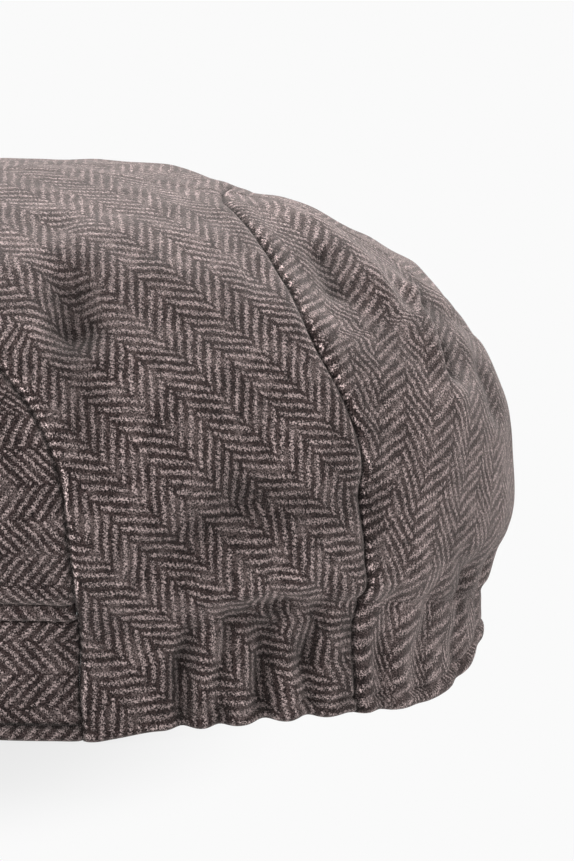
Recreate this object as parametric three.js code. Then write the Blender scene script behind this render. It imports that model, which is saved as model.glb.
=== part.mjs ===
// A soft tweed flat cap with a full, panelled crown, a band round its front, an elastic back
// and a stiff peak. It stands on its hem. Millimetres, +Z up, front towards -Y, wearer's left +X.
import * as THREE from 'three';

// Head opening and crown
const rimHalfWidth = 77;
const rimHalfLength = 96.5;
const crownHeight = 119.3;
const frontSlump = 13;
const clothThickness = 2;
const seamGap = 0.3;

// Band round the front, and the elastic casing round the back
const bandHeight = 32.4;
const bandThickness = 2.4;
const bandSetBack = 0.8;
const casingHeight = 27;
const backLift = 10;
const gatherDepth = 3.4;
const gatherWidth = 4;

// Dents and folds of the soft crown
const foldDepth = 3;
const foldWidth = 7;

// Peak
const peakLength = 58;
const peakThickness = 4;
const peakHalfAngle = 66;
const peakArch = 8;
const peakLift = 0.6;
const peakFullness = 2.2;

// How finely each piece is faceted
const bandRows = 3;
const crownRows = 21;
const frontColumns = 28;
const sideColumns = 17;
const backColumns = 18;
const peakColumns = 26;
const peakRows = 4;

// The crown from the hem (level 0) up to its top (level 1). Rise is a share of crownHeight, side
// of rimHalfWidth, reach (half the length) and centre (how far back its middle is) of rimHalfLength.
const crownSections = [
  { level: 0.00, rise: 0.000, side: 1.000, reach: 0.992, centre: -0.010 },
  { level: 0.07, rise: 0.100, side: 0.994, reach: 0.992, centre: -0.010 },
  { level: 0.15, rise: 0.208, side: 1.013, reach: 1.016, centre: 0.001 },
  { level: 0.24, rise: 0.317, side: 1.084, reach: 1.073, centre: -0.020 },
  { level: 0.34, rise: 0.433, side: 1.130, reach: 1.109, centre: -0.052 },
  { level: 0.46, rise: 0.567, side: 1.110, reach: 1.104, centre: -0.073 },
  { level: 0.58, rise: 0.712, side: 1.000, reach: 1.018, centre: -0.087 },
  { level: 0.70, rise: 0.833, side: 0.835, reach: 0.836, centre: -0.091 },
  { level: 0.82, rise: 0.933, side: 0.588, reach: 0.586, centre: -0.108 },
  { level: 0.92, rise: 0.985, side: 0.281, reach: 0.284, centre: -0.141 },
  { level: 1.00, rise: 1.000, side: 0.000, reach: 0.000, centre: -0.145 },
];

// The seams on the crown laid out flat as a disc, whose edge is the hem and whose middle is the
// top. Left and back are shares of its radius. Each seam runs from the hem to the top centre line.
const frontSeamRows = [
  { left: 0.999, back: 0.035 },
  { left: 0.826, back: 0.004 },
  { left: 0.640, back: 0.011 },
  { left: 0.512, back: 0.000 },
  { left: 0.393, back: -0.039 },
  { left: 0.245, back: -0.110 },
  { left: 0.120, back: -0.158 },
  { left: 0.000, back: -0.175 },
];
const backSeamRows = [
  { left: 0.731, back: 0.682 },
  { left: 0.602, back: 0.556 },
  { left: 0.482, back: 0.454 },
  { left: 0.379, back: 0.359 },
  { left: 0.284, back: 0.264 },
  { left: 0.190, back: 0.213 },
  { left: 0.065, back: 0.151 },
  { left: 0.000, back: 0.140 },
];

// Folds of the crown: a dent runs from one place to another, each an angle (degrees from the
// wearer's left towards the back) and a level. Depth is a share of foldDepth, width of foldWidth;
// a negative depth is a ridge. Right is the share of the depth that the wearer's right side has.
const folds = [
  { from: [8, 0.85], to: [6, 0.68], depth: 1.0, width: 0.9, right: 0.5 },
  { from: [6, 0.66], to: [6, 0.52], depth: 0.8, width: 0.9, right: 0.5 },
  { from: [14, 0.83], to: [12, 0.67], depth: -0.5, width: 1.1, right: 0.6 },
  { from: [-4, 0.77], to: [-2, 0.67], depth: -0.4, width: 1.1, right: 0.6 },
  { from: [14, 0.67], to: [29, 0.66], depth: 0.4, width: 1.4, right: 0.8 },
  { from: [40, 0.35], to: [25, 0.37], depth: 0.6, width: 1.3, right: 0.7 },
  { from: [25, 0.37], to: [13, 0.29], depth: 0.6, width: 1.3, right: 0.7 },
  { from: [33, 0.27], to: [22, 0.27], depth: -0.4, width: 1.4, right: 0.8 },
  { from: [52, 0.73], to: [58, 0.64], depth: 0.9, width: 1.3, right: 0.6 },
  { from: [83, 0.81], to: [68, 0.68], depth: -0.5, width: 1.2, right: 0.7 },
  { from: [78, 0.64], to: [66, 0.50], depth: -0.5, width: 1.0, right: 0.7 },
  { from: [84, 0.64], to: [72, 0.55], depth: 0.9, width: 0.9, right: 0.6 },
  { from: [84, 0.57], to: [79, 0.45], depth: 0.4, width: 0.9, right: 0.8 },
  { from: [44, 0.36], to: [45, 0.26], depth: 0.5, width: 0.9, right: 0.8 },
  { from: [82, 0.15], to: [66, 0.16], depth: 0.5, width: 0.9, right: 0.8 },
];

// Gathers of the elastic back: valleys that run up from the hem at an angle, at a share of
// gatherDepth and gatherWidth, with the share of the depth that the wearer's right side has.
const gathers = [
  { angle: 16.0, depth: 0.8, width: 0.8, right: 0.9 },
  { angle: 21.5, depth: 0.7, width: 0.8, right: 0.7 },
  { angle: 28.5, depth: 1.0, width: 1.0, right: 0.8 },
  { angle: 35.2, depth: 0.9, width: 0.9, right: 1.0 },
  { angle: 41.5, depth: 0.5, width: 0.9, right: 0.7 },
  { angle: 48.8, depth: 0.6, width: 1.0, right: 0.8 },
  { angle: 58.2, depth: 0.6, width: 1.1, right: 0.9 },
  { angle: 70.5, depth: 0.9, width: 1.1, right: 0.8 },
  { angle: 82.0, depth: 0.6, width: 1.1, right: 0.9 },
];

// How far up the draw of the elastic is felt, as a multiple of the casing's own level, and
// between which multiples its gathers fade out.
const drawnAbove = 1.6;
const gathersFade = [0.7, 1.3];

const wool = { color: 0x736866, roughness: 0.95, metalness: 0 };
const radians = Math.PI / 180;

const cloth = () => new THREE.MeshStandardMaterial(wool);

// 0 below a, 1 above b, and smooth between them.
const smoothStep = (a, b, x) => {
  const t = Math.min(Math.max((x - a) / (b - a), 0), 1);
  return t * t * (3 - 2 * t);
};

// One column of the sections at a level, on a smooth curve through the rows.
function sectionValue(column, level) {
  const last = crownSections.length - 1;
  let row = 0;
  while (row < last - 1 && crownSections[row + 1].level <= level) row += 1;
  const slope = (i) => {
    const a = crownSections[Math.max(i - 1, 0)];
    const b = crownSections[Math.min(i + 1, last)];
    const flatTop = i === last && (column === 'rise' || column === 'centre');
    return flatTop ? 0 : (b[column] - a[column]) / (b.level - a.level);
  };
  const low = crownSections[row];
  const high = crownSections[row + 1];
  const span = high.level - low.level;
  const t = (level - low.level) / span;
  return (2 * t ** 3 - 3 * t ** 2 + 1) * low[column] + (t ** 3 - 2 * t ** 2 + t) * span * slope(row)
    + (3 * t ** 2 - 2 * t ** 3) * high[column] + (t ** 3 - t ** 2) * span * slope(row + 1);
}

// Level at which the crown has risen to a height.
function levelAtHeight(height) {
  let low = 0;
  let high = 1;
  for (let step = 0; step < 30; step += 1) {
    const middle = (low + high) / 2;
    if (sectionValue('rise', middle) * crownHeight < height) low = middle;
    else high = middle;
  }
  return low;
}

const bandLevel = levelAtHeight(bandHeight);
const casingLevel = levelAtHeight(casingHeight);

// The disc point at an angle and a level, and the way back.
const discPoint = (angle, level) =>
  new THREE.Vector2(Math.cos(angle), Math.sin(angle)).multiplyScalar(1 - level);
const polar = (disc) => ({ angle: Math.atan2(disc.y, disc.x), level: 1 - disc.length() });

// How far the elastic draws up the hem, as a share of backLift: a little behind the side seams,
// and the rest at the very back. It fades out above the casing.
function drawUp(angle, level) {
  const backward = Math.max(Math.sin(angle), 0);
  const atHem = 0.2 * smoothStep(0.05, 0.22, backward) - 0.1 * smoothStep(0.45, 0.85, backward)
    + 0.75 * backward ** 24;
  return atHem * (1 - smoothStep(0, casingLevel * drawnAbove, level));
}

// The crown's smooth form: the elastic draws up the back of the hem, and the front slumps a little.
function smoothPoint(disc) {
  const { angle, level } = polar(disc);
  const aboveBand = Math.min(Math.max((level - bandLevel) / (1 - bandLevel), 0), 1);
  const slumped = Math.max(-Math.sin(angle), 0) ** 2 * Math.sin(Math.PI * aboveBand) ** 2;
  const reach = sectionValue('reach', level) * rimHalfLength;
  return new THREE.Vector3(
    sectionValue('side', level) * rimHalfWidth * Math.cos(angle),
    sectionValue('centre', level) * rimHalfLength + reach * Math.sin(angle),
    sectionValue('rise', level) * crownHeight + backLift * drawUp(angle, level)
      - frontSlump * slumped,
  );
}

// Outward direction of the smooth form, level at the hem so that the hem's underside is flat.
function outward(disc) {
  const step = 1e-4;
  const inside = disc.clone().multiplyScalar(1 - step * 2);
  const here = smoothPoint(inside);
  const left = smoothPoint(inside.clone().add(new THREE.Vector2(step, 0))).sub(here);
  const back = smoothPoint(inside.clone().add(new THREE.Vector2(0, step))).sub(here);
  const normal = left.cross(back).normalize();
  normal.z *= smoothStep(0, bandLevel * 0.6, 1 - disc.length());
  return normal.normalize();
}

// A fold's two ends in space, on the wearer's left and, mirrored, on the right.
const foldLines = folds.flatMap(({ from, to, depth, width, right }) => {
  const ends = [from, to].map(([angle, level]) => smoothPoint(discPoint(angle * radians, level)));
  const mirrored = ends.map((p) => new THREE.Vector3(-p.x, p.y, p.z));
  const reach = width * foldWidth;
  return [
    { line: new THREE.Line3(...ends), depth: depth * foldDepth, reach },
    { line: new THREE.Line3(...mirrored), depth: depth * right * foldDepth, reach },
  ];
});

// How far the cloth stands out from the smooth form, in millimetres.
function relief(disc, place) {
  const { angle, level } = polar(disc);
  const nearest = new THREE.Vector3();
  let height = 0;
  for (const fold of foldLines) {
    fold.line.closestPointToPoint(place, true, nearest);
    height -= fold.depth * Math.exp(-((nearest.distanceTo(place) / fold.reach) ** 2));
  }
  const inCasing = 1 - smoothStep(casingLevel * gathersFade[0], casingLevel * gathersFade[1], level);
  if (angle > 0 && inCasing > 0) {
    const onRight = angle > Math.PI / 2;
    const turned = (onRight ? Math.PI - angle : angle) / radians;
    for (const gather of gathers) {
      const away = (turned - gather.angle) * radians * rimHalfLength / (gather.width * gatherWidth);
      const depth = gather.depth * gatherDepth * (onRight ? gather.right : 1);
      height -= depth * inCasing * Math.exp(-(away ** 2));
    }
  }
  return height;
}

// The cloth at a disc point: where its face is when set back by a distance, and which way is out.
function clothAt(disc, setBack) {
  const place = smoothPoint(disc);
  const normal = outward(disc);
  const offset = relief(disc, place) - setBack;
  return { face: place.clone().addScaledVector(normal, offset), normal };
}

// A closed wall between two faces given on a grid, face(row, column, inner) being a point.
function wall(name, rows, columns, face) {
  const positions = [];
  const index = [];
  const width = columns + 1;
  const layer = (rows + 1) * width;
  for (const inner of [false, true]) {
    for (let row = 0; row <= rows; row += 1) {
      for (let column = 0; column <= columns; column += 1) {
        positions.push(face(row, column, inner));
      }
    }
  }
  const triangle = (a, b, c) => {
    const [p, q, r] = [a, b, c].map((i) => positions[i]);
    const area = q.clone().sub(p).cross(r.clone().sub(p)).length();
    if (area > 1e-6) index.push(a, b, c);
  };
  const quad = (a, b, c, d) => {
    triangle(a, b, c);
    triangle(a, c, d);
  };
  for (let row = 0; row < rows; row += 1) {
    for (let column = 0; column < columns; column += 1) {
      const a = row * width + column;
      quad(a, a + 1, a + 1 + width, a + width);
      quad(layer + a, layer + a + width, layer + a + 1 + width, layer + a + 1);
    }
  }
  const edge = (a, b) => quad(b, a, a + layer, b + layer);
  for (let column = 0; column < columns; column += 1) {
    edge(column, column + 1);
    edge(rows * width + column + 1, rows * width + column);
  }
  for (let row = 0; row < rows; row += 1) {
    edge((row + 1) * width, row * width);
    edge(row * width + columns, (row + 1) * width + columns);
  }
  const geometry = new THREE.BufferGeometry();
  geometry.setAttribute('position', new THREE.Float32BufferAttribute(positions.flatMap((p) => p.toArray()), 3));
  geometry.setIndex(facingOut(positions, index));
  geometry.computeVertexNormals();
  const mesh = new THREE.Mesh(geometry, cloth());
  mesh.name = name;
  return mesh;
}

// The triangles in the order that faces out, whichever way the grid ran.
function facingOut(positions, index) {
  let volume = 0;
  for (let i = 0; i < index.length; i += 3) {
    const [p, q, r] = index.slice(i, i + 3).map((k) => positions[k]);
    volume += p.dot(q.clone().cross(r));
  }
  return volume < 0 ? index.reverse() : index;
}

// A seam as a curve on the disc, and its shares at the rows that both of its panels use.
const seamCurve = (rows) =>
  new THREE.SplineCurve(rows.map(({ left, back }) => new THREE.Vector2(left, back)));
const frontSeam = seamCurve(frontSeamRows);
const backSeam = seamCurve(backSeamRows);

function shareAtLevel(seam, level) {
  let low = 0;
  let high = 0.5;
  for (let step = 0; step < 30; step += 1) {
    const middle = (low + high) / 2;
    if (polar(seam.getPointAt(middle)).level < level) low = middle;
    else high = middle;
  }
  return low;
}

const bandShare = shareAtLevel(frontSeam, bandLevel);
const seamShares = [];
for (let row = 0; row <= bandRows; row += 1) seamShares.push(bandShare * row / bandRows);
for (let row = 1; row <= crownRows; row += 1) {
  seamShares.push(bandShare + (1 - bandShare) * row / crownRows);
}
const lastRow = bandRows + crownRows;

// Half a seam gap on the disc, at the top, where its middle meets the innermost section, and the
// share of the front seam by which the front panel's lower edge clears the band.
const topSection = crownSections[crownSections.length - 2];
const topSeamInset = seamGap / 2 * (1 - topSection.level) / (topSection.side * rimHalfWidth);
const raisedEdge = seamGap / bandHeight * bandShare;

// A point beside a seam, half a seam gap towards the front (-1) or the back (1) of it.
function seamEdge(seam, share, towards) {
  const here = seam.getPointAt(share);
  const tangent = seam.getTangentAt(share);
  const across = new THREE.Vector2(-tangent.y, tangent.x).multiplyScalar(-towards);
  const step = 1e-3;
  const moved = smoothPoint(here.clone().addScaledVector(across, step));
  const scale = moved.distanceTo(smoothPoint(here)) / step;
  const edge = here.addScaledVector(across, seamGap / 2 / scale);
  if (share === 0) edge.normalize();
  return edge;
}

// The front panel and the band: rows run level from the left front seam round to the right one.
function frontPiece(name, firstRow, rows, thickness, setBack, raised) {
  const face = (row, column, inner) => {
    const share = seamShares[firstRow + row] + (row === 0 ? raised : 0);
    const edge = polar(seamEdge(frontSeam, share, -1));
    const middle = -Math.PI / 2;
    const angle = middle + (edge.angle - middle) * (1 - 2 * column / frontColumns);
    const { face: outer, normal } = clothAt(discPoint(angle, Math.max(edge.level, 0)), setBack);
    return inner ? outer.addScaledVector(normal, -thickness) : outer;
  };
  return wall(name, rows, frontColumns, face);
}

// A back panel: rows run level from a back seam to the centre line at the back.
function backPanel(name, side) {
  const face = (row, column, inner) => {
    const edge = polar(seamEdge(backSeam, seamShares[row], 1));
    const level = Math.max(edge.level, 0);
    const centre = Math.PI / 2 - Math.min(seamGap / 2 / (sectionValue('side', level) * rimHalfWidth), 1);
    const start = Math.min(edge.angle, centre);
    const angle = start + (centre - start) * column / backColumns;
    const disc = discPoint(angle, level);
    disc.x *= side;
    const { face: outer, normal } = clothAt(disc, 0);
    return inner ? outer.addScaledVector(normal, -clothThickness) : outer;
  };
  return wall(name, lastRow, backColumns, face);
}

// A panel between the two seams of one side, from the hem to the centre line on top.
function sidePanel(name, side) {
  const face = (row, column, inner) => {
    const t = column / sideColumns;
    const front = seamEdge(frontSeam, seamShares[row], 1);
    const back = seamEdge(backSeam, seamShares[row], -1);
    const [a, b] = [front, back].map(polar);
    const level = a.level + (b.level - a.level) * t;
    const round = discPoint(a.angle + (b.angle - a.angle) * t, level);
    const straight = front.lerp(back, t);
    const disc = straight.lerp(round, smoothStep(0.25, 0.6, 1 - level));
    disc.x = Math.max(disc.x, topSeamInset) * side;
    const { face: outer, normal } = clothAt(disc, 0);
    return inner ? outer.addScaledVector(normal, -clothThickness) : outer;
  };
  return wall(name, lastRow, sideColumns, face);
}

// The peak: a stiff crescent, arched from side to side, sewn to the foot of the band.
function peak() {
  const cornerAngle = (90 - peakHalfAngle) * radians;
  const bandFace = (angle) => {
    const { face, normal } = clothAt(discPoint(angle, 0), bandSetBack);
    return face.addScaledVector(normal, seamGap);
  };
  const corner = bandFace(-cornerAngle);
  const forward = bandFace(-Math.PI / 2).y - peakLength - corner.y;
  const outerEdge = (turn) => new THREE.Vector3(
    corner.x * Math.sign(turn) * Math.abs(Math.sin(turn)) ** (2 / peakFullness),
    corner.y + forward * Math.abs(Math.cos(turn)) ** (2 / peakFullness),
    0,
  );
  const face = (row, column, under) => {
    const across = (1 - 2 * column / peakColumns);
    const inner = bandFace(-Math.PI / 2 + across * peakHalfAngle * radians);
    const outer = outerEdge(across * Math.PI / 2);
    const out = row / peakRows;
    const point = inner.clone().lerp(outer, out);
    point.z = peakLift + peakArch * (1 - across ** 2) * (1 - 0.5 * out);
    if (!under) point.z += peakThickness;
    return point;
  };
  return wall('peak', peakRows, peakColumns, face);
}

const cap = new THREE.Group();
cap.add(
  frontPiece('front_panel', bandRows, crownRows, clothThickness, 0, raisedEdge),
  frontPiece('front_band', 0, bandRows, bandThickness, bandSetBack, 0),
  sidePanel('side_panel_left', 1),
  sidePanel('side_panel_right', -1),
  backPanel('back_panel_left', 1),
  backPanel('back_panel_right', -1),
  peak(),
);

// The origin is under the middle of the whole cap, on the surface that it stands on.
const box = new THREE.Box3().setFromObject(cap);
cap.position.set(-(box.min.x + box.max.x) / 2, -(box.min.y + box.max.y) / 2, -box.min.z);

export default cap;
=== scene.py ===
import math

import bmesh
import bpy
import numpy as np
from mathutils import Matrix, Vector, kdtree, noise


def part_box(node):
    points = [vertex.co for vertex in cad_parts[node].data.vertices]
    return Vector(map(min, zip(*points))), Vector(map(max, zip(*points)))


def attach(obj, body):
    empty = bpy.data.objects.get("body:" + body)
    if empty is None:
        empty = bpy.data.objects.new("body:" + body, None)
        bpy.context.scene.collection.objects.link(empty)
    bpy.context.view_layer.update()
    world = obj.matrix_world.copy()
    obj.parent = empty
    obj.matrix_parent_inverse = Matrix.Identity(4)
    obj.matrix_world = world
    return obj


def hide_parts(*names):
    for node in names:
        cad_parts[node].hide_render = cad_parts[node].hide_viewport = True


# A soft tweed flat cap dressed over its solids. Lengths are millimetres in the cap's own frame,
# +Z up, front towards -Y, wearer's left +X, until a mesh is written, which is in metres.
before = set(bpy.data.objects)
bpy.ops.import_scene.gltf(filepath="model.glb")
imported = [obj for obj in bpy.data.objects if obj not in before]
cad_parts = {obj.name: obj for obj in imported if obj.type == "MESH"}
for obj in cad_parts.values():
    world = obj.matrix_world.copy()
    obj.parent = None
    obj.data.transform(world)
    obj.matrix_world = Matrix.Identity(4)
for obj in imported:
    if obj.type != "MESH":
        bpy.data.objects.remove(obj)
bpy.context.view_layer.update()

# Sizes shared with the solids
rim_half_width = 77
rim_half_length = 96.5
crown_height = 119.3
front_slump = 13
cloth_thickness = 2
band_height = 32.4
band_thickness = 2.4
band_set_back = 0.8
casing_height = 27
back_lift = 10
gather_depth = 3.4
gather_width = 4
fold_depth = 3
fold_width = 7
seam_gap = 0.3
peak_length = 58
peak_thickness = 4
peak_half_angle = 66
peak_arch = 8
peak_lift = 0.6
peak_fullness = 2.2

# The crown from hem (0) to top (1): level, rise, side, reach and centre, as shares of its sizes
LEVEL, RISE, SIDE, REACH, CENTRE = range(5)
crown_sections = np.array([
    (0.00, 0.000, 1.000, 0.992, -0.010),
    (0.07, 0.100, 0.994, 0.992, -0.010),
    (0.15, 0.208, 1.013, 1.016, 0.001),
    (0.24, 0.317, 1.084, 1.073, -0.020),
    (0.34, 0.433, 1.130, 1.109, -0.052),
    (0.46, 0.567, 1.110, 1.104, -0.073),
    (0.58, 0.712, 1.000, 1.018, -0.087),
    (0.70, 0.833, 0.835, 0.836, -0.091),
    (0.82, 0.933, 0.588, 0.586, -0.108),
    (0.92, 0.985, 0.281, 0.284, -0.141),
    (1.00, 1.000, 0.000, 0.000, -0.145),
])

# The seams on the crown laid out as a disc, (left, back) from the hem to the top centre line. The
# front seam lies up to 1.4 mm further back than on the solids, to be seen where the photograph has it.
front_seam_rows = [(0.999, 0.035), (0.826, 0.013), (0.640, 0.024), (0.512, 0.010),
                   (0.393, -0.036), (0.245, -0.110), (0.120, -0.158), (0.000, -0.175)]
back_seam_rows = [(0.731, 0.682), (0.602, 0.556), (0.482, 0.454), (0.379, 0.359),
                  (0.284, 0.264), (0.190, 0.213), (0.065, 0.151), (0.000, 0.140)]

# Folds of the crown: from and to (degrees from the wearer's left, level), depth and width as
# shares, and the share of the depth that its mirror image has. A negative depth is a ridge, and
# degrees past 90 are on the wearer's right.
main_folds = [
    ((8, 0.85), (6, 0.68), 1.0, 0.9, 0.5),
    ((6, 0.66), (6, 0.52), 0.8, 0.9, 0.5),
    ((14, 0.83), (12, 0.67), -0.5, 1.1, 0.6),
    ((-4, 0.77), (-2, 0.67), -0.4, 1.1, 0.6),
    ((14, 0.67), (29, 0.66), 0.4, 1.4, 0.8),
    ((40, 0.35), (25, 0.37), 0.6, 1.3, 0.7),
    ((25, 0.37), (13, 0.29), 0.6, 1.3, 0.7),
    ((33, 0.27), (22, 0.27), -0.4, 1.4, 0.8),
    ((52, 0.73), (58, 0.64), 0.9, 1.3, 0.6),
    ((83, 0.81), (68, 0.68), -0.5, 1.2, 0.7),
    ((78, 0.64), (66, 0.50), -0.5, 1.0, 0.7),
    ((84, 0.64), (72, 0.55), 0.9, 0.9, 0.6),
    ((84, 0.57), (79, 0.45), 0.4, 0.9, 0.8),
    ((44, 0.36), (45, 0.26), 0.5, 0.9, 0.8),
    ((82, 0.15), (66, 0.16), 0.5, 0.9, 0.8),
]

# Sharper creases on top of those, in the same shares
small_folds = [
    ((81.5, 0.64), (74.5, 0.612), 0.95, 0.42, 0.1),
    ((74.5, 0.612), (68.6, 0.53), 1.20, 0.43, 0.2),
    ((75, 0.645), (65.5, 0.56), -0.60, 0.50, 0.2),
    ((80, 0.78), (69, 0.674), -0.35, 0.71, 0.3),
    ((64, 0.738), (58.2, 0.692), 0.80, 0.60, 0.2),
    ((70, 0.668), (70, 0.642), 0.40, 0.57, 0.8),
    ((87.2, 0.616), (80, 0.544), -0.27, 0.57, 0.6),
    ((85, 0.588), (92.5, 0.548), 0.23, 0.36, 0.6),
    ((80.2, 0.498), (79, 0.448), 0.27, 0.43, 0.8),
    ((59, 0.44), (58.5, 0.396), -0.33, 1.57, 0.8),
    ((44, 0.36), (44, 0.252), 0.27, 0.51, 0.6),
    ((63.5, 0.216), (76, 0.102), 0.43, 0.51, 0.8),
    ((39.2, 0.35), (26.5, 0.37), 0.17, 0.57, 0.7),
    ((24.2, 0.168), (26, 0.145), 0.70, 0.50, 0.4),
    ((27.2, 0.384), (13.8, 0.294), 0.20, 0.57, 0.6),
    ((9.8, 0.846), (8, 0.67), 0.17, 0.71, 0.6),
    ((31.8, 0.82), (23.8, 0.662), -0.17, 1.29, 0.7),
    ((47.5, 0.246), (55.5, 0.204), -0.23, 0.71, 0.7),
    ((18.5, 0.134), (20.2, 0.054), -0.27, 0.64, 0.7),
    ((30, 0.14), (32.5, 0.03), -0.30, 0.64, 0.8),
    ((50.5, 0.134), (53.8, 0.024), -0.27, 0.71, 0.8),
    ((155, 0.872), (140, 0.85), -0.38, 1.50, 0),
    ((117, 0.80), (109, 0.745), 0.50, 1.50, 0),
    ((97, 0.645), (104, 0.60), -0.45, 0.75, 0),
    ((85, 0.21), (95, 0.21), -0.35, 1.50, 0),
    ((8, 0.85), (7.2, 0.79), -0.60, 0.90, 0.5),
    ((52, 0.73), (58, 0.64), -0.45, 1.30, 0.5),
    ((68, 0.68), (64.5, 0.60), -0.30, 0.60, 0.2),
    ((6.3, 0.77), (7.8, 0.68), 0.35, 0.60, 0.6),
    ((15.5, 0.168), (23.5, 0.217), -0.25, 0.60, 0.3),
    ((17.6, 0.152), (24, 0.174), 0.35, 0.45, 0.3),
    ((15.6, 0.10), (16.6, 0.02), 0.45, 0.40, 0.5),
    ((31.2, 0.185), (33.8, 0.08), 0.55, 0.45, 0.5),
    ((26.5, 0.13), (27.6, 0.03), 0.30, 0.40, 0.5),
]

# Painted shade along creases: as the folds, but darkness alone and no depth
painted_crease_shadows = [
    ((86, 0.655), (77.8, 0.633), 0.5, 0.42, 0.2),
    ((78.5, 0.640), (69.0, 0.545), 1.0, 0.50, 0.2),
    ((79.5, 0.530), (77.6, 0.473), 0.5, 0.40, 0.5),
]

# Gathers of the elastic back: angle, depth, width, and the share of the depth on the right
gathers = [
    (16.0, 0.8, 0.8, 0.9), (21.5, 0.7, 0.8, 0.7), (28.5, 1.0, 1.0, 0.8), (35.2, 0.9, 0.9, 1.0),
    (41.5, 0.5, 0.9, 0.7), (48.8, 0.6, 1.0, 0.8), (58.2, 0.6, 1.1, 0.9), (70.5, 0.9, 1.1, 0.8),
    (82.0, 0.6, 1.1, 0.9),
]

# Where the stitching of the elastic's casing runs: how high above the floor, at how far back
casing_stitch_rows = [(20, 28), (38, 32), (64, 29), (80, 26.5), (90, 22.5), (96, 19)]

# How far up the draw of the elastic is felt, as a multiple of the casing's own level, and between
# which multiples its gathers fade out
drawn_above = 1.6
gathers_fade = (0.7, 1.3)

# The rolled hem, the welt along the top of the band, and the groove beside either
hem_roll_height = 3.3
hem_fullness = 0.7
band_hem_fullness = 1.5
welt_foot = 29.2
welt_fullness = 1.7
roll_groove_depth = 0.8
roll_groove_width = 0.6

# Seams: how deep their groove is and how far the cloth beside them swells
seam_depth = 1.0
seam_swell = 0.5
centre_seam_depth = 0.2
centre_seam_width = 0.5
seam_groove_width = 0.75
seam_swell_away = 3.2
seam_swell_width = 2.2

# The casing's stitching: where it starts behind the front seam, its groove (how deep on the sides,
# how much less at the back, how wide), and the cloth that stands up above it and below it (how far
# off, how wide, how high)
casing_start = (20, 27)
stitching_depth = 0.9
stitching_less = 0.35
stitching_width = 1.8
swell_above_stitching = (5, 3.6, 0.6)
swell_below_stitching = (6, 4, 0.4)

# What the gathers do, as deep as shares of their valleys (on the sides, less at the back) and as wide
# as shares of them: pleats below the stitching, the same running out above it, the hem's scallops,
# and the painted shade in their creases
pleat_depth, pleat_less, pleat_reach = 0.25, 0.15, 0.68
run_out_depth, run_out_reach = 0.35, 0.9
scallop_rise, scallop_less, scallop_reach = 0.36, 0.28, 0.8
gather_shade, gather_shade_less, gather_shade_reach = 0.9, 0.5, 0.7

# Where the sides become the back, for the stitching and for the rest, and the sag of the hem there:
# how far back, how wide, how deep
stitching_at_back = (70, 92)
cloth_at_back = (60, 80)
hem_sag = (82, 9, 0.8)

# The back seams, where the elastic draws the casing aside: their degrees, and how many to each side
back_seam_degrees = 43
back_seam_reach = 7

# Weave: spacing of the threads and width of a herringbone column
warp_spacing = 0.79
weft_spacing = 0.81
threads_in_column = 10
column_width = threads_in_column * warp_spacing

# How the weave lies. On the side panels the threads that far back stand upright, as seen from the
# side, and on the back panels those at (level, distance from the centre back along the row).
side_plumb = 28
side_slant = -45
back_plumb_rows = [(0.0, 69), (0.20, 70), (0.325, 69), (0.359, 67), (0.446, 61.3), (0.473, 58.5),
                   (0.541, 52), (0.636, 38.6), (0.72, 23), (0.80, 8), (0.90, -10)]
# The back's columns lean by so many degrees, and the threads across them slip up by a share of their
# length. The casing is sewn on one column along, and its threads slip more.
back_lean = 17
back_skew = 0.5
casing_skew = 0.7
# The front's rows are eased to one length up to a height, and above it shorten. Beside the seams
# they lie as cut, drawn in by a share. The way up is measured along one column of points, starts
# part of the way up a column of the weave, and is a little stretched.
front_eased_length = 118
front_upright_height = 62
front_shortening = 0.62
front_as_cut = 35
front_drawn = 1.2
front_up_column = 12
front_start = 5 * column_width - 1.6
front_stretch = 1.06

# Colours of the weft, the warp, and both blurred together, by brushing and by painted sheen
charcoal_weft = "#342a29"
pale_warp = "#948482"
brushed_and_sheen_wool = "#655a58"

# The peak's row of stitching and the swell outside it: how far in, how wide, how deep or high
peak_stitching = (5.0, 0.5, 0.35)
peak_swell = (3.0, 1.2, 0.25)
peak_plain_width = 6

# Widths of the panels, and how far apart their columns of points are
side_panel_width = 110
back_panel_width = 95
front_panel_width = 260
crown_spacing = 1.25
front_spacing = 1.5


def smooth_step(low, high, value):
    t = np.clip((value - low) / (high - low), 0, 1)
    return t * t * (3 - 2 * t)


def bell(away, width):
    """1 at no distance, and next to nothing beyond twice that width."""
    return np.exp(-(away / width) ** 2)


def section_slopes():
    rows = crown_sections
    ahead = np.vstack([rows[1:], rows[-1:]])
    behind = np.vstack([rows[:1], rows[:-1]])
    slopes = (ahead - behind) / (ahead[:, :1] - behind[:, :1])
    slopes[-1, [RISE, CENTRE]] = 0
    return slopes


slopes = section_slopes()


def section_value(column, level):
    """One column of the sections at levels, on a smooth curve through the rows."""
    levels = crown_sections[:, LEVEL]
    row = np.clip(np.searchsorted(levels, level, side="right") - 1, 0, len(levels) - 2)
    span = levels[row + 1] - levels[row]
    t = (level - levels[row]) / span
    low, high = crown_sections[row, column], crown_sections[row + 1, column]
    return ((2 * t**3 - 3 * t**2 + 1) * low + (t**3 - 2 * t**2 + t) * span * slopes[row, column]
            + (3 * t**2 - 2 * t**3) * high + (t**3 - t**2) * span * slopes[row + 1, column])


def level_at_height(height):
    levels = np.linspace(0, 1, 4001)
    return float(np.interp(height, section_value(RISE, levels) * crown_height, levels))


band_level = level_at_height(band_height)
casing_level = level_at_height(casing_height)


def disc_point(angle, level):
    """A place on the crown laid out as a disc, whose edge is the hem and whose middle is the top."""
    return np.stack([np.cos(angle), np.sin(angle)], -1) * (1 - np.asarray(level))[..., None]


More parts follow.
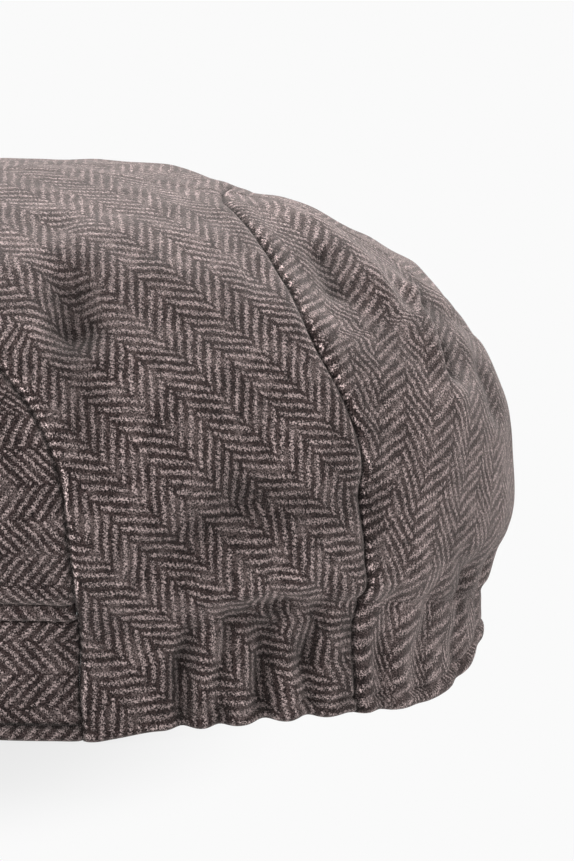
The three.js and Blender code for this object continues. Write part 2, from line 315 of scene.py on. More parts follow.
def polar(disc):
    """The angle and the level of places on the disc."""
    return np.arctan2(disc[..., 1], disc[..., 0]), 1 - np.linalg.norm(disc, axis=-1)


def smooth_point(disc):
    """The crown's smooth form, with the back of its hem drawn up and its front slumped."""
    angle, level = polar(disc)
    backward = np.maximum(np.sin(angle), 0)
    drawn_up = 0.2 * smooth_step(0.05, 0.22, backward) - 0.1 * smooth_step(0.45, 0.85, backward)
    drawn_up += 0.75 * backward**24
    drawn_up *= 1 - smooth_step(0, casing_level * drawn_above, level)
    above_band = np.clip((level - band_level) / (1 - band_level), 0, 1)
    slumped = np.maximum(-np.sin(angle), 0) ** 2 * np.sin(np.pi * above_band) ** 2
    reach = section_value(REACH, level) * rim_half_length
    return np.stack([
        section_value(SIDE, level) * rim_half_width * np.cos(angle),
        section_value(CENTRE, level) * rim_half_length + reach * np.sin(angle),
        section_value(RISE, level) * crown_height + back_lift * drawn_up - front_slump * slumped,
    ], -1)


def unit(vectors):
    return vectors / np.maximum(np.linalg.norm(vectors, axis=-1, keepdims=True), 1e-12)


def outward(disc):
    """The way out of the smooth form, level at the hem."""
    step = 1e-4
    inside = disc * (1 - 2 * step)
    here = smooth_point(inside)
    left = smooth_point(inside + (step, 0)) - here
    back = smooth_point(inside + (0, step)) - here
    normal = unit(np.cross(left, back))
    normal[..., 2] *= smooth_step(0, band_level * 0.6, 1 - np.linalg.norm(disc, axis=-1))
    return unit(normal)


def distance_to_segment(place, start, end):
    along = end - start
    share = np.clip(((place - start) @ along) / (along @ along), 0, 1)
    return np.linalg.norm(place - start - share[..., None] * along, axis=-1)


def fold_relief(place, folds):
    """How high the cloth stands at each place because of some folds, each with its mirror image."""
    height = np.zeros(place.shape[:-1])
    for start, end, depth, width, right in folds:
        ends = [smooth_point(disc_point(math.radians(angle), np.array(level)))
                for angle, level in (start, end)]
        for side, share in ((1, 1), (-1, right)):
            away = distance_to_segment(place, *(e * (side, 1, 1) for e in ends))
            height -= depth * share * fold_depth * bell(away, width * fold_width)
    return height


def degrees_back(angle):
    """Degrees back from the wearer's left or right, whichever is nearer."""
    return np.degrees(np.where(angle > np.pi / 2, np.pi - angle, angle))


def gather_valleys(disc, reach=1.0):
    """How deep the gathers are at each place round the back, 0 in front."""
    angle, _ = polar(disc)
    depth = np.zeros(angle.shape)
    for place, share, width, right in gathers:
        away = np.radians(degrees_back(angle) - place) * rim_half_length
        mirrored = np.where(angle > np.pi / 2, right, 1)
        depth += share * gather_depth * mirrored * bell(away, width * gather_width * reach)
    return np.where(angle > 0, depth, 0)


def ripple(place, size, seed):
    """Smooth seeded noise of about -1 to 1 whose bumps are about that many millimetres wide."""
    flat = place.reshape(-1, 3) / size + (seed * 7.3, seed * 3.1, seed * 5.7)
    to_full_range = 1.6
    return np.array([noise.noise(Vector(p)) for p in flat]).reshape(place.shape[:-1]) * to_full_range


def unevenness(place):
    """The soft cloth's own slight waves."""
    return 0.5 * ripple(place, 26, 1) + 0.28 * ripple(place, 9, 2)


def seam_curve(rows):
    """A seam on the disc as closely spaced points and their shares of its length."""
    points = np.array(rows)
    padded = np.vstack([points[:1], points, points[-1:]])
    found = []
    for i in range(len(points) - 1):
        before, start, end, after = padded[i:i + 4]
        t = np.linspace(0, 1, 200, endpoint=i == len(points) - 2)[:, None]
        slope_in, slope_out = (end - before) / 2, (after - start) / 2
        found.append((2 * start - 2 * end + slope_in + slope_out) * t**3
                     + (-3 * start + 3 * end - 2 * slope_in - slope_out) * t**2
                     + slope_in * t + start)
    curve = np.vstack(found)
    length = np.concatenate([[0], np.cumsum(np.linalg.norm(np.diff(curve, axis=0), axis=1))])
    return curve, length / length[-1]


def seam_at(seam, share):
    """Places on the disc at shares of a seam's length."""
    curve, shares = seam
    found = np.stack([np.interp(share, shares, curve[:, k]) for k in (0, 1)], -1)
    size = np.linalg.norm(found, axis=-1, keepdims=True)
    return found / np.maximum(size, 1)


front_seam = seam_curve(front_seam_rows)
back_seam = seam_curve(back_seam_rows)
front_seam_levels = 1 - np.linalg.norm(seam_at(front_seam, front_seam[1]), axis=-1)
band_share = float(np.interp(band_level, front_seam_levels, front_seam[1]))


def both_sides(line):
    return [line, line * (-1, 1, 1)]


# The lines that cloth is drawn in at, as closely spaced points on the smooth form
fine = np.linspace(0, 1, 700)
front_seam_lines = both_sides(smooth_point(seam_at(front_seam, fine)))
back_seam_lines = both_sides(smooth_point(seam_at(back_seam, fine)))
front_end, back_end = front_seam_rows[-1][1], back_seam_rows[-1][1]
top_seam_line = smooth_point(np.stack([0 * fine, front_end + (back_end - front_end) * fine], -1))
centre_back_line = smooth_point(disc_point(0 * fine + np.pi / 2, (1 - back_end) * fine))


def nearest_on(lines, place):
    """The nearest point of some lines to each place, and how far away it is."""
    points = np.vstack(lines)
    tree = kdtree.KDTree(len(points))
    for index, point in enumerate(points):
        tree.insert(point, index)
    tree.balance()
    found = [tree.find(spot)[1:] for spot in place.reshape(-1, 3)]
    index, away = (np.array(part) for part in zip(*found))
    return points[index].reshape(place.shape), away.reshape(place.shape[:-1])


def seam_profile(away, depth, bulk):
    """A seam's groove, and the swell where its turnings lie under the cloth beside it."""
    groove = -depth * bell(away, seam_groove_width)
    return groove + bulk * bell(away - seam_swell_away, seam_swell_width)


def cloth(disc, set_back=0.0):
    """The dressed cloth before its seams: its places, the way out, and the level of each."""
    place = smooth_point(disc)
    normal = outward(disc)
    _, level = polar(disc)
    height = fold_relief(place, main_folds) + fold_relief(place, small_folds)
    fade_from, fade_to = (casing_level * share for share in gathers_fade)
    in_casing = 1 - smooth_step(fade_from, fade_to, level)
    gathered = gather_valleys(disc) * (0.75 - 0.2 * smooth_step(66, 76, place[..., 1]))
    height -= gathered * in_casing * (0.5 + 0.5 * smooth_step(0, casing_level * 0.6, level))
    return place, normal, height - set_back, level


def hem_roll(height_up, size, fullness):
    """A rolled hem: rounded underneath, full at its middle, with a groove above it."""
    t = np.clip(height_up / size, 0, 1)
    swell = fullness * np.sqrt(np.clip(1 - (2 * t - 1) ** 2, 0, 1))
    under = -1.0 * np.clip(1 - height_up / 1.2, 0, 1) ** 2
    groove = -roll_groove_depth * bell(height_up - size - 0.3, roll_groove_width)
    return swell * (height_up < size) + under + groove


def arc_lengths(places, axis):
    """How far along its row or column of points each place lies."""
    steps = np.linalg.norm(np.diff(places, axis=axis), axis=-1)
    start = np.zeros_like(np.take(steps, [0], axis))
    return np.concatenate([start, np.cumsum(steps, axis)], axis)


def grain_map(places, plumb, up, degrees):
    """Millimetres on the cloth: x along a herringbone column, y across the columns. The cloth is
    laid flat row by row. Plumb is how far along each row the straight thread is that everything is
    measured from, and up how far up the cloth each row is."""
    round_row = arc_lengths(places, 1) - np.reshape(plumb, (-1, 1))
    up = np.reshape(up, (-1, 1)) + 0 * round_row
    turn = math.radians(degrees)
    return np.stack([round_row * math.cos(turn) + up * math.sin(turn),
                     up * math.cos(turn) - round_row * math.sin(turn)], -1)


def plumb_at(places, back):
    """How far along each row it passes a place that far back, and the way up along those places."""
    lengths = arc_lengths(places, 1)
    plumb, points = [], []
    for row, length in zip(places, lengths):
        order = np.argsort(row[:, 1])
        plumb.append(np.interp(back, row[order, 1], length[order]))
        points.append([np.interp(plumb[-1], length, row[:, k]) for k in range(3)])
    return np.array(plumb), arc_lengths(np.array(points), 0)


# From the cap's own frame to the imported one, by the tip of the peak
peak_tip = (crown_sections[0, CENTRE] - crown_sections[0, REACH]) * rim_half_length
peak_tip += band_set_back - seam_gap - peak_length
shift_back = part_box("peak")[0].y * 1000 - peak_tip


def seam_marks(place):
    """Millimetres to the nearest crossing seam, negative in front of it: the tweed paints shade in the
    seam and a highlight just behind it along this.
    """
    nearest, crossing = nearest_on(front_seam_lines + back_seam_lines, place)
    ahead = nearest[..., 1] > place[..., 1] + 0.01
    return np.where(ahead, -crossing, crossing)


def woven_sheet(name, places, grain, marks, thickness, within, crease_shading=None):
    """A piece of cloth from a grid moved to places[row, column], with a wall on its inner side. Its
    faces turn away from a point within the cap."""
    rows, columns = places.shape[0] - 1, places.shape[1] - 1
    crease_shading = 0 * marks if crease_shading is None else crease_shading
    bm = bmesh.new()
    bmesh.ops.create_grid(bm, x_segments=columns, y_segments=rows, size=1)
    bm.verts.index_update()
    layer = bm.loops.layers.uv.new("grain")
    # Each point carries its distance to a seam and its crease depth, from which the tweed paints shade
    # and highlights.
    seam = bm.verts.layers.float.new("seam")
    crease_shade = bm.verts.layers.float.new("crease_shade")
    spots = {}
    for vert in bm.verts:
        spots[vert.index] = (round((vert.co.y + 1) / 2 * rows), round((vert.co.x + 1) / 2 * columns))
    for face in bm.faces:
        face.smooth = True
        for loop in face.loops:
            loop[layer].uv = grain[spots[loop.vert.index]]
    for vert in bm.verts:
        x, y, z = places[spots[vert.index]]
        vert[seam] = marks[spots[vert.index]]
        vert[crease_shade] = crease_shading[spots[vert.index]]
        vert.co = (x / 1000, (y + shift_back) / 1000, z / 1000)
    bmesh.ops.remove_doubles(bm, verts=bm.verts, dist=2e-6)
    bmesh.ops.dissolve_degenerate(bm, dist=2e-6, edges=bm.edges)
    bm.normal_update()
    middle = Vector(within) / 1000
    facing = sum(face.normal.dot(face.calc_center_median() - middle) for face in bm.faces)
    if facing < 0:
        bmesh.ops.reverse_faces(bm, faces=bm.faces)
    for edge in bm.edges:
        edge.smooth = not edge.is_boundary
    mesh = bpy.data.meshes.new(name)
    bm.to_mesh(mesh)
    bm.free()
    piece = bpy.data.objects.new(name, mesh)
    bpy.context.collection.objects.link(piece)
    if thickness:
        wall = piece.modifiers.new("wall", "SOLIDIFY")
        wall.thickness = thickness / 1000
        wall.offset = -1
        wall.use_even_offset = False
    return piece


def finish_piece(piece, node, material):
    """Covers a piece in its material and lets it take its solid's place."""
    piece.data.materials.append(material)
    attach(piece, "root")
    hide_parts(node)
    return piece


def linear(hex_colour):
    """An sRGB hex colour as linear red, green, blue and alpha."""
    parts = [int(hex_colour[i:i + 2], 16) / 255 for i in (1, 3, 5)]
    return [c / 12.92 if c <= 0.04045 else ((c + 0.055) / 1.055) ** 2.4 for c in parts] + [1]


def add_node(tree, kind, settings=None, **links):
    """Adds a node. Settings are its properties; links are its sockets, by name or index, each a
    value or another node's output socket."""
    node = tree.nodes.new(kind)
    for key, value in (settings or {}).items():
        setattr(node, key, value)
    for key, value in links.items():
        socket = node.inputs[int(key[1:])] if key[1:].isdigit() else node.inputs[key.replace("_", " ")]
        if isinstance(value, bpy.types.NodeSocket):
            tree.links.new(value, socket)
        else:
            socket.default_value = value
    return node


def herringbone_tweed():
    """Woven wool herringbone tweed, a pale mauve-grey warp over a charcoal-brown weft, milled so
    that its fibres stand up: dull all over, with a faint pale nap where it turns away."""
    material = bpy.data.materials.new("herringbone_tweed")
    material.use_nodes = True
    tree = material.node_tree
    shader = tree.nodes["Principled BSDF"]

    def maths(operation, first, second=None, third=None):
        links = {"_0": first}
        if second is not None:
            links["_1"] = second
        if third is not None:
            links["_2"] = third
        return add_node(tree, "ShaderNodeMath", {"operation": operation}, **links).outputs[0]

    def ease(value, low, high, bottom=0.0, top=1.0):
        return add_node(tree, "ShaderNodeMapRange", {"interpolation_type": "SMOOTHSTEP"}, Value=value,
                        From_Min=low, From_Max=high, To_Min=bottom, To_Max=top).outputs[0]

    def product(*values):
        found = values[0]
        for value in values[1:]:
            found = maths("MULTIPLY", found, value)
        return found

    def noise_at(bumps_a_metre, detail, output=0, **sockets):
        return add_node(tree, "ShaderNodeTexNoise", Vector=place, Scale=bumps_a_metre, Detail=detail,
                        **sockets).outputs[output]

    def mixed(share, first, second, blend="MIX"):
        return add_node(tree, "ShaderNodeMix", {"data_type": "RGBA", "blend_type": blend},
                        Factor=share, _6=first, _7=second).outputs[2]

    def attribute(name):
        return add_node(tree, "ShaderNodeAttribute", {"attribute_name": name}).outputs["Fac"]

    grain = add_node(tree, "ShaderNodeUVMap", {"uv_map": "grain"}).outputs[0]
    place = add_node(tree, "ShaderNodeTexCoord").outputs["Object"]
    _, back, high = add_node(tree, "ShaderNodeSeparateXYZ", Vector=place).outputs

    # Threads wander by a third of a millimetre over about 5 mm.
    wander = add_node(tree, "ShaderNodeVectorMath", {"operation": "SUBTRACT"},
                      _0=noise_at(190.0, 1.0, "Color"), _1=(0.5, 0.5, 0.5)).outputs[0]
    wandered = add_node(tree, "ShaderNodeVectorMath", {"operation": "MULTIPLY_ADD"}, _0=wander,
                        _1=(1.3, 1.3, 0.0), _2=grain).outputs[0]
    along, across, _ = add_node(tree, "ShaderNodeSeparateXYZ", Vector=wandered).outputs

    # Each column slants the other way from the last.
    thread = maths("DIVIDE", across, warp_spacing)
    thread_middle = maths("ADD", maths("FLOOR", thread), 0.5)
    column = maths("FLOOR", maths("DIVIDE", thread_middle, threads_in_column))
    turned = maths("ABSOLUTE", maths("MODULO", column, 2.0))
    direction = maths("MULTIPLY_ADD", turned, -2.0, 1.0)

    # A stroke is stepped thread by thread, a little blurred by the milling.
    stepped = maths("ADD", maths("MULTIPLY", thread_middle, 0.75), maths("MULTIPLY", thread, 0.25))
    phase = maths("MULTIPLY_ADD", along, 1 / (4 * weft_spacing),
                  maths("MULTIPLY", maths("MULTIPLY", stepped, direction), 0.25))
    phase = maths("MULTIPLY_ADD", turned, 0.5, phase)
    wave = maths("COSINE", maths("MULTIPLY", phase, 2 * math.pi))
    # Each pale thread darkens towards its edges: painted shade of its round.
    beside = maths("SUBTRACT", maths("FRACT", thread), 0.5)
    rounded = maths("MULTIPLY_ADD", maths("MULTIPLY", beside, beside), -3.2, 1.0)

    # Loose fibres break up the strokes, in tufts of a millimetre and in hairs of a third of one.
    tufts = noise_at(950.0, 1.0, Roughness=0.6)
    fibre = noise_at(2800.0, 1.0, Roughness=0.7)
    broken = maths("MULTIPLY_ADD", maths("SUBTRACT", tufts, 0.5), 1.8, wave)
    hairs = maths("MULTIPLY_ADD", maths("SUBTRACT", fibre, 0.5), 4.5, broken)

    # Where two columns meet, the threads dive under and the strokes fade.
    in_column = maths("FRACT", maths("DIVIDE", thread, threads_in_column))
    off_middle = maths("ABSOLUTE", maths("SUBTRACT", in_column, 0.5))
    hairs = maths("SUBTRACT", hairs, ease(off_middle, 0.42, 0.5, 0.0, 0.7))
    stroke = maths("MULTIPLY", ease(hairs, -0.25, 1.35), maths("MULTIPLY_ADD", rounded, 0.5, 0.5))
    yarn = mixed(stroke, linear(charcoal_weft), linear(pale_warp))

    # The dye varies over centimetres, and the nap lies this way and that over a few millimetres.
    shade = noise_at(60.0, 2.0)
    nap = noise_at(210.0, 2.0)

    # Brushing has blurred the weave in random patches, and a painted sheen blurs it further on top and
    # at the back, in metres of the imported frame.
    brushed_and_sheen = maths("ADD", ease(back, 0.075, 0.125, 0.0, 0.2), ease(high, 0.085, 0.118, 0.0, 0.1))
    brushed_and_sheen = maths("ADD", brushed_and_sheen, ease(nap, 0.48, 0.68, 0.0, 0.4))
    yarn = mixed(maths("MINIMUM", brushed_and_sheen, 0.6), yarn, linear(brushed_and_sheen_wool))

    # Painted shade darkens the creases, and a painted highlight lightens their ridges. Painted shade
    # darkens the seams and grooves, and a painted highlight lightens the pale threads just behind each
    # seam.
    seam = attribute("seam")
    seam_ridge_highlight = product(ease(seam, 0.35, 0.75), ease(seam, 2.0, 1.2),
                   ease(high, 0.025, 0.04, 0.5, 1.45), ease(high, 0.104, 0.115, 1.0, 0.4))
    lightness = product(ease(shade, 0.3, 0.7, 0.85, 1.12),
                        ease(nap, 0.3, 0.7, 0.8, 1.2),
                        ease(fibre, 0.34, 0.66, 0.2, 1.9),
                        ease(attribute("crease_shade"), -3.2, 1.4, 0.50, 1.12),
                        ease(maths("ABSOLUTE", seam), 0.15, 0.85, 0.35, 1.0),
                        maths("MULTIPLY_ADD", seam_ridge_highlight, stroke, 1.0))
    colour = mixed(1.0, yarn, lightness, "MULTIPLY")
    tree.links.new(colour, shader.inputs["Base Color"])
    shader.inputs["Roughness"].default_value = 0.95
    shader.inputs["Specular IOR Level"].default_value = 0.15
    shader.inputs["Sheen Weight"].default_value = 0.22
    shader.inputs["Sheen Roughness"].default_value = 0.45
    shader.inputs["Sheen Tint"].default_value = linear("#fff4ee")
    height = maths("ADD", maths("MULTIPLY", stroke, 0.8), maths("MULTIPLY", fibre, 0.6))
    bump = add_node(tree, "ShaderNodeBump", Height=height, Distance=0.00035, Strength=0.9)
    tree.links.new(bump.outputs[0], shader.inputs["Normal"])
    return material


tweed = herringbone_tweed()

# Rows of the crown's panels, closest at the hem, and their columns, closest at the seams
hem_rows = np.concatenate([np.linspace(0, 0.16, 12), np.linspace(0.18, 0.84, 28),
                           np.linspace(0.855, 1, 12)]) * band_share
crown_rows = band_share + (1 - band_share) * np.linspace(0, 1, 121)[1:]
panel_rows = np.concatenate([hem_rows, crown_rows])
columns_at_seam = np.array([0, 0.35, 0.75, 1.2, 1.8, 2.5, 3.4, 4.4, 5.6])


def columns_between(width, spacing):
    """Shares across a panel that wide, closer together beside its two seams."""
    close = columns_at_seam / width
    count = int((width - 2 * columns_at_seam[-1]) / spacing) + 1
    middle = np.linspace(close[-1], 1 - close[-1], count)
    return np.concatenate([close, middle[1:-1], 1 - close[::-1]])


def above_stitching(place):
    """How far above the casing's stitching each place is."""
    return place[..., 2] - np.interp(place[..., 1], *np.transpose(casing_stitch_rows))


def stitched_casing(place, disc, up):
    """The casing's stitching, the cloth that stands up beside it, and the gathers it holds."""
    stitched = above_stitching(place) + 0.8 * ripple(place, 8, 5)
    at_back = smooth_step(*stitching_at_back, place[..., 1])
    strength = smooth_step(*casing_start, place[..., 1])
    strength *= np.clip(0.6 + 1.2 * ripple(place, 12, 4), 0.1, 1.4)
    height = -(stitching_depth - stitching_less * at_back) * strength * bell(stitched, stitching_width)
    for (away, width, swell), upward in ((swell_above_stitching, 1), (swell_below_stitching, -1)):
        height += strength * swell * bell(stitched - upward * away, width)
    # The elastic's gathers are sharpest just below the stitching and run out above it.
    pleats = gather_valleys(disc, pleat_reach) * (pleat_depth - pleat_less * at_back)
    height -= pleats * smooth_step(0, 3, up) * (1 - smooth_step(-1, 2.5, stitched))
    run_out = smooth_step(-1, 3, stitched) * (1 - smooth_step(4, 26, stitched))
    return height - run_out_depth * gather_valleys(disc, run_out_reach) * run_out


def sewn_detail(place, disc, level):
    """What sewing does to the crown's cloth: seams, casing, rolled hem, and its own slight waves."""
    up = section_value(RISE, level) * crown_height
    crossing = nearest_on(front_seam_lines + back_seam_lines, place)[1]
    centre = nearest_on([top_seam_line, centre_back_line], place)[1]
    height = seam_profile(crossing, seam_depth, seam_swell)
    height -= centre_seam_depth * bell(centre, centre_seam_width)
    height += stitched_casing(place, disc, up)
    return height + hem_roll(up, hem_roll_height, hem_fullness) + unevenness(place)


def hem_rise(place, disc, level):
    """How far the hem rises at each gather, and sags where the back turns away."""
    at_back = smooth_step(*cloth_at_back, place[..., 1])
    far_back, width, depth = hem_sag
    rise = gather_valleys(disc, scallop_reach) * (scallop_rise - scallop_less * at_back)
    rise -= depth * bell(place[..., 1] - far_back, width)
    return rise * (1 - smooth_step(0, casing_level * gathers_fade[0], level))


def crease_shade_depths(place, disc):
    """How far down in a crease each place lies, or up on a ridge, with the gathers' valleys below the
    stitching: the depth that painted shade and painted highlight follow.
    """
    at_back = smooth_step(*cloth_at_back, place[..., 1])
    gathered = gather_valleys(disc, gather_shade_reach) * (gather_shade - gather_shade_less * at_back)
    crease_shading = fold_relief(place, small_folds + painted_crease_shadows) + 0.5 * fold_relief(place, main_folds)
    return crease_shading - gathered * smooth_step(-1, 2, -above_stitching(place))


def crown_panel(name, disc, lay_flat):
    """A side or back panel from its places on the disc, sewn, gathered and creased."""
    place, normal, height, level = cloth(disc)
    grain = lay_flat(place + normal * height[..., None])
    height += sewn_detail(place, disc, level)
    places = place + normal * height[..., None] + drawn_aside(disc, place)
    places[..., 2] += hem_rise(place, disc, level)
    sheet = woven_sheet(name + "_cloth", places, grain, seam_marks(place), cloth_thickness, (0, 0, 50),
                        crease_shade_depths(place, disc))
    return finish_piece(sheet, name, tweed)


def drawn_aside(disc, place):
    """At the back seams the casing is drawn towards the front at its stitching, and back below."""
    angle, _ = polar(disc)
    below = -above_stitching(place)
    pull = 1.6 * bell(below - 4, 4) - 2.2 * smooth_step(8, 20, below)
    pull *= bell(degrees_back(angle) - back_seam_degrees, back_seam_reach)
    side = np.where(angle > np.pi / 2, -1, 1)
    seam_angle = np.radians(back_seam_degrees)
    return np.stack([side * pull * np.sin(seam_angle), -pull * np.cos(seam_angle), 0 * pull], -1)


def side_panel(name, side):
    share = columns_between(side_panel_width, crown_spacing)[None, :]
    front = seam_at(front_seam, panel_rows)[:, None]
    back = seam_at(back_seam, panel_rows)[:, None]
    (front_angle, front_level), (back_angle, back_level) = polar(front), polar(back)
    level = front_level + (back_level - front_level) * share
    round_way = disc_point(front_angle + (back_angle - front_angle) * share, level)
    straight = front + (back - front) * share[..., None]
    disc = straight + (round_way - straight) * smooth_step(0.25, 0.6, 1 - level)[..., None]
    disc[..., 0] *= side

    def lay_flat(places):
        return grain_map(places, *plumb_at(places, side_plumb), side_slant)

    return crown_panel(name, disc, lay_flat)


def back_panel(name, side):
    share = columns_between(back_panel_width, crown_spacing)[None, :]
    angle, level = polar(seam_at(back_seam, panel_rows)[:, None])
    disc = disc_point(angle + (np.pi / 2 - angle) * share, np.maximum(level + 0 * share, 0))
    disc[..., 0] *= side

    def lay_flat(places):
        reach = arc_lengths(places, 1)[:, -1]
        plumb = reach - np.interp(level[:, 0], *np.transpose(back_plumb_rows))
        # The plumb thread leans across the rows, and the columns lie along it.
        up = arc_lengths(places[:, -1:], 0)
        round_row = arc_lengths(places, 1) - plumb[:, None]
        round_row *= 1 + 0.2 * (1 - smooth_step(-2, 2, above_stitching(places)))
        lean = math.radians(back_lean)
        in_casing = above_stitching(places) < 0
        skew = np.where(in_casing, casing_skew, back_skew)
        across = -round_row * math.cos(lean) + np.where(in_casing, column_width, 0)
        return np.stack([up / math.cos(lean) + round_row * skew, across], -1)

    return crown_panel(name, disc, lay_flat)


def front_discs(rows):
    """Places on the disc from the front seam round to its mirror image, at shares up the seam."""
    share = columns_between(front_panel_width, front_spacing)[None, :]
    angle, level = polar(seam_at(front_seam, rows)[:, None])
    middle = -np.pi / 2
    return disc_point(middle + (angle - middle) * (1 - 2 * share), np.maximum(level + 0 * share, 0))


def lay_front_flat(places, up_start=0.0, up_stretch=1.0, drawn=1.0):
    """The front's grain runs level. Beside its seams it lies as cut, and the rest of each row is
    eased so that the seams stand upright."""
    lengths = arc_lengths(places, 1)
    middle = lengths[:, -1:] / 2
    up = arc_lengths(places[:, front_up_column:front_up_column + 1], 0)
    shortened = front_shortening * np.clip(up - front_upright_height, 0, None)
    eased = np.minimum(front_eased_length, middle[:1]) - shortened
    from_middle = np.abs(lengths - middle)
    from_seam = middle - from_middle
    as_cut = np.minimum(front_as_cut, 0.3 * middle)
    round_row = np.where(from_seam < as_cut, eased - drawn * from_seam,
                         from_middle * (eased - drawn * as_cut) / np.maximum(middle - as_cut, 1e-6))
    round_row *= np.where(lengths < middle, -1, 1)
    return np.stack([round_row, up / up_stretch + up_start + 0 * round_row], -1)


def front_panel():
    tail = band_share * np.array([0.90, 0.93, 0.96, 0.98, 0.99, 1.0])
    disc = front_discs(np.concatenate([tail, crown_rows]))
    place, normal, height, level = cloth(disc)
    grain = lay_front_flat(place + normal * height[..., None], front_start, front_stretch, front_drawn)
    detail = seam_profile(nearest_on(front_seam_lines, place)[1], 1.1 * seam_depth, seam_swell)
    above_band = section_value(RISE, level) * crown_height - band_height
    # Its turning goes down behind the band.
    detail += 0.4 * bell(above_band - 4, 2.5) - 1.5 * (1 - smooth_step(0, 1.8, above_band))
    detail -= 0.7 * (1 - smooth_step(-1.5, 0, above_band))
    detail += unevenness(place) * smooth_step(0, 5, above_band)
    places = place + normal * (height + detail)[..., None]
    # Painted shade darkens the cloth along the crown's lower edge, where it laps over the band.
    marks = np.where(above_band < 2.4, -np.abs(above_band), seam_marks(place))
    sheet = woven_sheet("front_panel_cloth", places, grain, marks, cloth_thickness, (0, -50, 50))
    return finish_piece(sheet, "front_panel", tweed)


def front_band():
    """The band: a welt along its top, a rolled hem along its foot."""
    disc = front_discs(np.concatenate([hem_rows, band_share * np.array([1.006, 1.012])]))
    place, normal, height, level = cloth(disc, band_set_back)
    grain = lay_front_flat(place)
    up = section_value(RISE, level) * crown_height
    welt = np.clip((up - welt_foot) / (band_height - welt_foot), 0, 1)
    detail = hem_roll(up, hem_roll_height, band_hem_fullness)
    detail += welt_fullness * np.sqrt(np.clip(1 - (2 * welt - 1) ** 2, 0, 1)) * (up > welt_foot)
    detail -= roll_groove_depth * bell(up - welt_foot + 0.5, roll_groove_width)
    # The hem is turned up on the other slant, and the welt is a strip of its own.
    grain[..., 1] += np.where(up < hem_roll_height + 0.3, 0, np.where(up > welt_foot, -2, column_width))
    detail += seam_profile(nearest_on(front_seam_lines, place)[1], seam_depth, 0.6 * seam_swell)
    detail += 0.25 * ripple(place, 18, 3)
    places = place + normal * (height + detail)[..., None]
    marks = seam_marks(place)
    # Painted shade darkens the grooves above the rolled hem and below the welt.
    for line in (hem_roll_height + 0.5, welt_foot - 0.4):
        marks = np.where(np.abs(up - line) < 1.2, -np.abs(up - line) * 0.7, marks)
    sheet = woven_sheet("front_band_cloth", places, grain, marks, band_thickness, (0, 0, 10))
    return finish_piece(sheet, "front_band", tweed)


def peak():
    """The stiff peak, covered above and below, sewn round its edge."""
    peak_columns, face_rows, edge_rows = 141, 40, 11
    corner_angle = math.radians(90 - peak_half_angle)

    def band_face(angle):
        disc = disc_point(angle, 0 * angle)
        place, normal, height, _ = cloth(disc, band_set_back - seam_gap)
        return place + normal * height[..., None]

    corner = band_face(np.array([-corner_angle]))[0]
    forward = band_face(np.array([-np.pi / 2]))[0, 1] - peak_length - corner[1]
    across = 1 - 2 * np.linspace(0, 1, peak_columns)
    turn = across * np.pi / 2
    power = 2 / peak_fullness
    outer = np.stack([corner[0] * np.sign(turn) * np.abs(np.sin(turn)) ** power,
                      corner[1] + forward * np.abs(np.cos(turn)) ** power, 0 * turn], -1)
    inner = band_face(-np.pi / 2 + across * np.radians(peak_half_angle))
    half = peak_thickness / 2
    # Round the section: out along the top, round the edge, back along the underside, and closed.
    outward_way = np.linspace(0, 1, face_rows)
    turned = np.linspace(0, np.pi, edge_rows + 2)[1:-1]
    face, edge = np.ones(face_rows), np.ones(edge_rows)
    out = np.concatenate([outward_way, edge, outward_way[::-1], [0]])
    rise = np.concatenate([face, np.cos(turned), -face, [1]]) * half
    beyond = np.concatenate([0 * face, np.sin(turned), 0 * face, [0]])
    span = np.linalg.norm(outer - inner, axis=-1)
    rounding = np.minimum(half / np.maximum(span, 1e-6), 0.5)
    share = out[:, None] * (1 - rounding) + rounding * beyond[:, None]
    places = inner + (outer - inner) * share[..., None]
    # A row of stitching runs round the edge, where the peak is wide enough for it.
    from_edge = (1 - share) * span
    sewn = 0
    for (way_in, width, swell), upward in ((peak_swell, 1), (peak_stitching, -1)):
        sewn = sewn + upward * swell * bell(from_edge - way_in, width)
    puff = np.sign(rise)[:, None] * sewn * (span > peak_plain_width)
    places[..., 2] = (peak_lift + half + rise[:, None] + puff
                      + peak_arch * (1 - across**2) * (1 - 0.5 * share))
    half_round = arc_lengths(places, 1)[:, -1] / 2
    middle = peak_columns // 2
    grain = grain_map(places, half_round, arc_lengths(places[:, middle:middle + 1], 0), 90)
    far_from_seams = 9 + 0 * from_edge
    sheet = woven_sheet("peak_cloth", places, grain, far_from_seams, 0, (0, -99, 5))
    return finish_piece(sheet, "peak", tweed)


for name, side in (("side_panel_left", 1), ("side_panel_right", -1)):
    side_panel(name, side)
for name, side in (("back_panel_left", 1), ("back_panel_right", -1)):
    back_panel(name, side)
front_panel()
front_band()
peak()


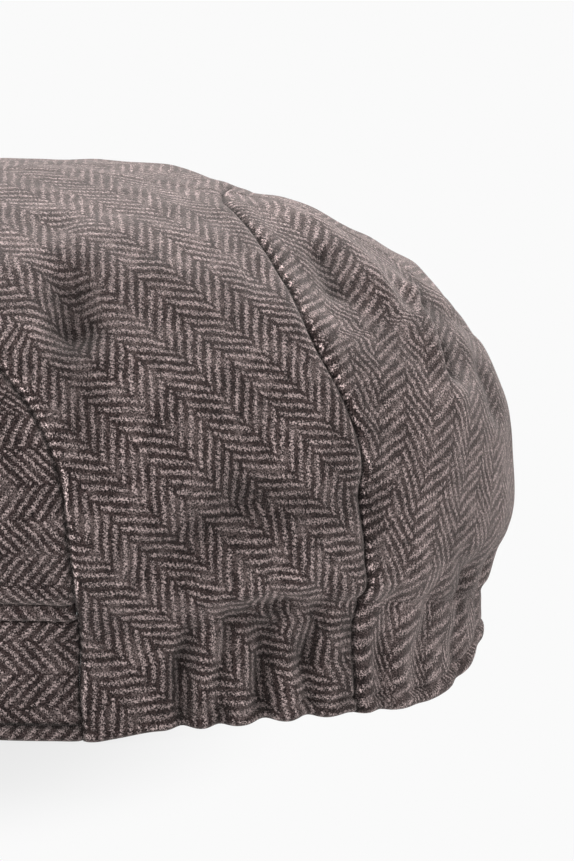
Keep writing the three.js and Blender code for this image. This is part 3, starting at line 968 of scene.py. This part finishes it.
def pale_table():
    """A plain pale table, lit evenly from within as well as from above, so shadows stay faint. Near the
    cap's front its glow is dimmed into a painted shadow, and only there its matt card takes real
    shadows;
    further off it looks as pale as the background."""
    bm = bmesh.new()
    bmesh.ops.create_grid(bm, x_segments=1, y_segments=1, size=30)
    mesh = bpy.data.meshes.new("table")
    bm.to_mesh(mesh)
    bm.free()
    table = bpy.data.objects.new("table", mesh)
    bpy.context.collection.objects.link(table)
    material = bpy.data.materials.new("pale_card_with_painted_shadow")
    material.use_nodes = True
    tree = material.node_tree
    shader = tree.nodes["Principled BSDF"]
    place = add_node(tree, "ShaderNodeTexCoord").outputs["Object"]
    # Painted shadow: near a point by the cap's front the card's glow is dimmed, fading out from 8 to 15
    # cm.
    away = add_node(tree, "ShaderNodeVectorMath", {"operation": "DISTANCE"}, _0=place,
                    _1=(0.06, -0.07, 0.0)).outputs["Value"]
    for socket, near, far in (("Base Color", 0.05, 0.0), ("Emission Strength", 0.78, 0.956)):
        level = add_node(tree, "ShaderNodeMapRange", {"interpolation_type": "SMOOTHSTEP"}, Value=away,
                         From_Min=0.08, From_Max=0.15, To_Min=near, To_Max=far).outputs[0]
        tree.links.new(level, shader.inputs[socket])
    shader.inputs["Roughness"].default_value = 1.0
    shader.inputs["Specular IOR Level"].default_value = 0.0
    shader.inputs["Emission Color"].default_value = (1, 1, 1, 1)
    table.data.materials.append(material)


def soft_light(name, place, target, size, power):
    lamp = bpy.data.lights.new(name, "AREA")
    lamp.shape = "DISK"
    lamp.size = size
    lamp.energy = power
    light = bpy.data.objects.new(name, lamp)
    light.location = place
    light.rotation_euler = (Vector(target) - Vector(place)).to_track_quat("-Z", "Y").to_euler()
    bpy.context.collection.objects.link(light)


pale_table()
soft_light("overhead", (-1.0, 0.05, 1.15), (0, 0, 0.08), 0.9, 38)
soft_light("from_behind", (0.0, 1.6, 0.55), (0, 0, 0.08), 0.9, 10)
soft_light("from_the_front", (1.7, -1.3, 0.6), (0, 0, 0.06), 1.2, 14)
world = bpy.data.worlds.new("studio")
world.use_nodes = True
world.node_tree.nodes["Background"].inputs[0].default_value = linear("#fafafa")
bpy.context.scene.world = world
bpy.context.scene.view_settings.view_transform = "Standard"

# The camera looks from the wearer's left, a little down, from far enough to show little perspective.
# The photograph is so many pixels high, and each is so many metres at the cap.
picture_height = 861
pixel_size = 0.000235
camera_distance = 3.0
camera_elevation = math.radians(12)
towards_camera = Vector((math.cos(camera_elevation), 0, math.sin(camera_elevation)))
aim = Vector((0, 0.0752, 0.0571))
camera = bpy.data.objects.new("camera", bpy.data.cameras.new("camera"))
camera.location = aim + camera_distance * towards_camera
camera.rotation_euler = (aim - camera.location).to_track_quat("-Z", "Y").to_euler()
camera.data.sensor_width = 36
camera.data.lens = camera.data.sensor_width * camera_distance / (picture_height * pixel_size)
bpy.context.collection.objects.link(camera)
bpy.context.scene.camera = camera
